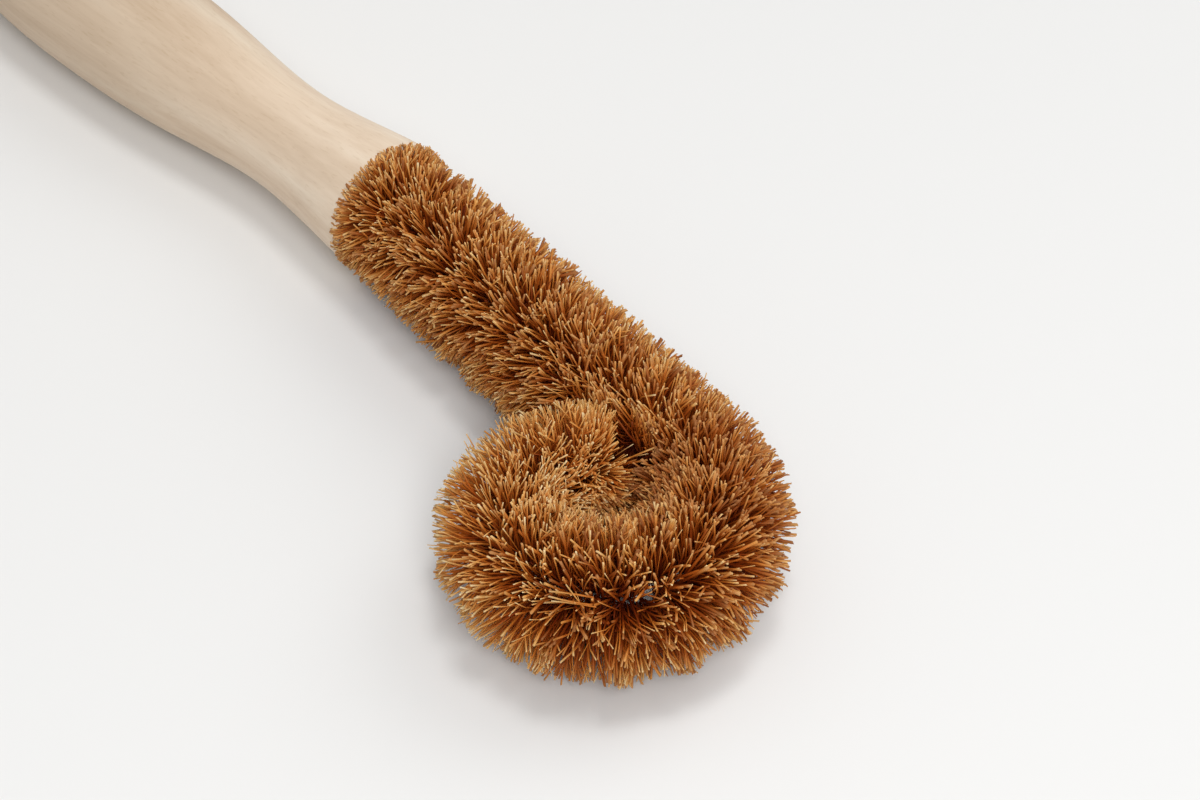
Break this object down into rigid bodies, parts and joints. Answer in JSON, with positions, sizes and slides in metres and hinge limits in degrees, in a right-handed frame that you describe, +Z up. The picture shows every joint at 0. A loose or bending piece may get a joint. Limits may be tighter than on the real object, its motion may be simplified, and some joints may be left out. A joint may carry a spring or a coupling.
{
  "type": "dish brush",
  "caption": "Dish brush with a turned wooden handle and a trimmed tube of stiff plant fibre on a twisted wire stem, curled flat into a loop.",
  "frame": {"origin": "centre of the bounding box, on the plane that the brush lies on", "axes": "+X along the handle towards the head, +Z up from the plane of the curl, so the curl lies on the -Y side"},
  "size_m": [0.256, 0.0716, 0.028],
  "materials": {
    "handle_wood": "fine sanded, unvarnished",
    "stem_glue": "set glue",
    "stem_wire": "galvanised",
    "fibre": "stiff dry plant fibre, cut ends"
  },
  "bodies": {
    "root": {"handle": "handle_wood", "stem_glue": "stem_glue", "wire_strand_a": "stem_wire", "wire_strand_b": "stem_wire", "fibre_bunch_01": "fibre", "fibre_bunch_02": "fibre", "fibre_bunch_03": "fibre", "fibre_bunch_04": "fibre", "fibre_bunch_05": "fibre", "fibre_bunch_06": "fibre", "fibre_bunch_07": "fibre", "fibre_bunch_08": "fibre", "fibre_bunch_09": "fibre", "fibre_bunch_10": "fibre", "fibre_bunch_11": "fibre", "fibre_bunch_12": "fibre", "fibre_bunch_13": "fibre", "fibre_bunch_14": "fibre", "fibre_bunch_15": "fibre", "fibre_bunch_16": "fibre", "fibre_bunch_17": "fibre", "fibre_bunch_18": "fibre", "fibre_bunch_19": "fibre", "fibre_bunch_20": "fibre", "fibre_bunch_21": "fibre", "fibre_bunch_22": "fibre", "fibre_bunch_23": "fibre", "fibre_bunch_24": "fibre", "fibre_bunch_25": "fibre", "fibre_bunch_26": "fibre", "fibre_tip": "fibre"}
  },
  "joints": []
}
